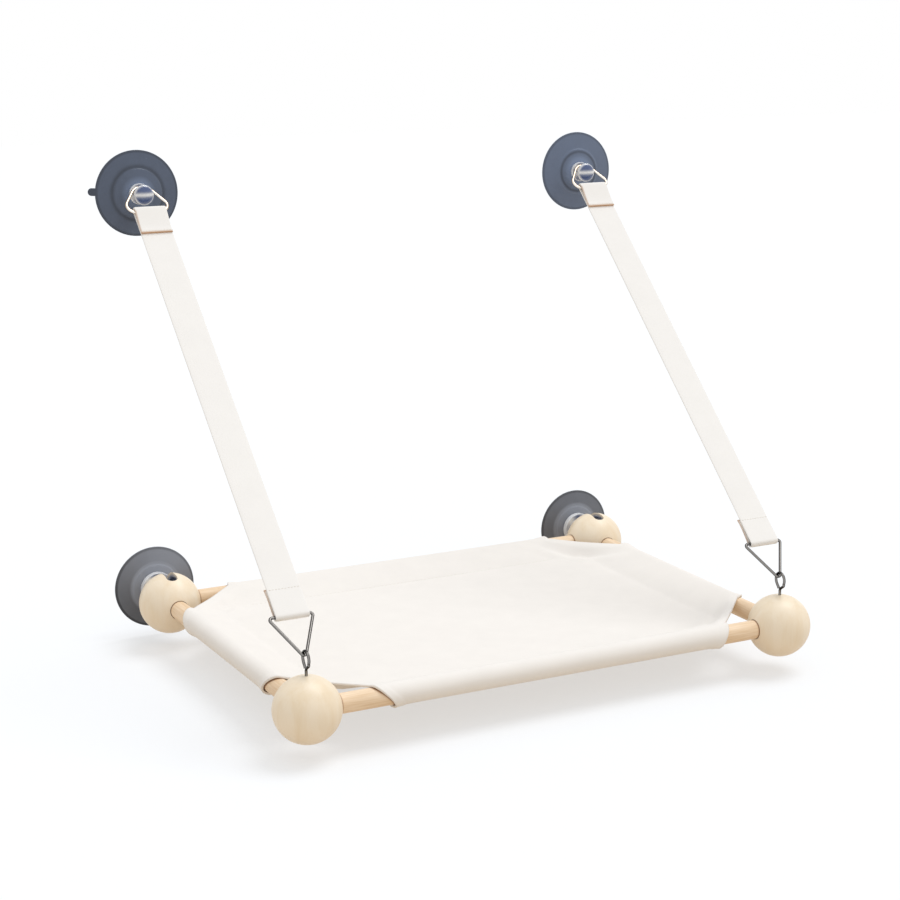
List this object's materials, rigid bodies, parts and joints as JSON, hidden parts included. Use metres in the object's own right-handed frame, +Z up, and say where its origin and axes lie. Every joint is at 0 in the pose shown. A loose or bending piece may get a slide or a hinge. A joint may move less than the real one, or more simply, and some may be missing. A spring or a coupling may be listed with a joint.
{
  "type": "cat window hammock",
  "caption": "Cat hammock for a window: a canvas sling on a dowel frame with ball corners, carried by lower suction cups and hung from upper ones by webbing straps.",
  "frame": {"origin": "on the glass, midway between the axes of the two lower suction cups", "axes": "+X along the front dowel to the right, +Y into the glass, +Z up"},
  "size_m": [0.5749, 0.423, 0.475],
  "materials": {
    "grey_vinyl": "smooth soft grey vinyl",
    "clear_plastic": "clear, polished",
    "nickel_wire": "bright nickel plate",
    "steel_wire": "zinc plated wire",
    "ball_wood": "turned and sanded, pale, unvarnished",
    "dowel_wood": "sanded, pale, unvarnished",
    "webbing": "off-white woven webbing",
    "canvas": "off-white plain-woven cotton canvas"
  },
  "bodies": {
    "cups": {"cup_upper_left": "grey_vinyl", "cup_upper_right": "grey_vinyl", "cup_lower_left": "grey_vinyl", "cup_lower_right": "grey_vinyl", "peg_upper_left": "clear_plastic", "peg_upper_right": "clear_plastic", "peg_lower_left": "clear_plastic", "peg_lower_right": "clear_plastic"},
    "frame": {"ball_front_left": "ball_wood", "ball_front_right": "ball_wood", "ball_rear_left": "ball_wood", "ball_rear_right": "ball_wood", "dowel_front": "dowel_wood", "dowel_rear": "dowel_wood", "dowel_left": "dowel_wood", "dowel_right": "dowel_wood", "canvas_sling": "canvas", "screw_eye_left": "steel_wire", "screw_eye_right": "steel_wire"},
    "left_ring": {"hanger_ring_left": "nickel_wire"},
    "left_strap_top": {"strap_left_upper": "webbing"},
    "left_strap_end": {"strap_left_lower": "webbing"},
    "left_triangle": {"triangle_ring_left": "steel_wire"},
    "right_ring": {"hanger_ring_right": "nickel_wire"},
    "right_strap_top": {"strap_right_upper": "webbing"},
    "right_strap_end": {"strap_right_lower": "webbing"},
    "right_triangle": {"triangle_ring_right": "steel_wire"}
  },
  "joints": [
    {"name": "frame_fold", "type": "hinge", "parent": "cups", "child": "frame", "pos_m": [0, -0.046, 0], "axis": [-1, 0, 0], "range_deg": [0, 80], "deforming": ["strap_left_upper", "strap_left_lower", "strap_right_upper", "strap_right_lower"]},
    {"name": "left_ring_swing", "type": "hinge", "parent": "cups", "child": "left_ring", "pos_m": [-0.243, -0.0136, 0.3996], "axis": [1, 0, 0], "range_deg": [0, 46.53]},
    {"name": "left_strap_swing", "type": "hinge", "parent": "left_ring", "child": "left_strap_top", "pos_m": [-0.243, -0.03566, 0.37869], "axis": [-1, 0, 0], "range_deg": [0, 9.23]},
    {"name": "left_strap_fold", "type": "hinge", "parent": "left_strap_top", "child": "left_strap_end", "pos_m": [-0.243, -0.22322, 0.20152], "axis": [-1, 0, 0], "range_deg": [0, 168.1]},
    {"name": "left_triangle_swing", "type": "hinge", "parent": "frame", "child": "left_triangle", "pos_m": [-0.243, -0.393, 0.04], "axis": [-1, 0, 0], "range_deg": [0, 50.67]},
    {"name": "right_ring_swing", "type": "hinge", "parent": "cups", "child": "right_ring", "pos_m": [0.243, -0.0136, 0.3996], "axis": [1, 0, 0], "range_deg": [0, 46.53]},
    {"name": "right_strap_swing", "type": "hinge", "parent": "right_ring", "child": "right_strap_top", "pos_m": [0.243, -0.03566, 0.37869], "axis": [-1, 0, 0], "range_deg": [0, 9.23]},
    {"name": "right_strap_fold", "type": "hinge", "parent": "right_strap_top", "child": "right_strap_end", "pos_m": [0.243, -0.22322, 0.20152], "axis": [-1, 0, 0], "range_deg": [0, 168.1]},
    {"name": "right_triangle_swing", "type": "hinge", "parent": "frame", "child": "right_triangle", "pos_m": [0.243, -0.393, 0.04], "axis": [-1, 0, 0], "range_deg": [0, 50.67]}
  ],
  "couplings": [
    {"joint": "left_ring_swing", "follows": "frame_fold", "ratio": 0.58168},
    {"joint": "left_strap_swing", "follows": "frame_fold", "ratio": 0.11542},
    {"joint": "left_strap_fold", "follows": "frame_fold", "ratio": 2.1013},
    {"joint": "left_triangle_swing", "follows": "frame_fold", "ratio": 0.63336},
    {"joint": "right_ring_swing", "follows": "frame_fold", "ratio": 0.58168},
    {"joint": "right_strap_swing", "follows": "frame_fold", "ratio": 0.11542},
    {"joint": "right_strap_fold", "follows": "frame_fold", "ratio": 2.1013},
    {"joint": "right_triangle_swing", "follows": "frame_fold", "ratio": 0.63336}
  ]
}
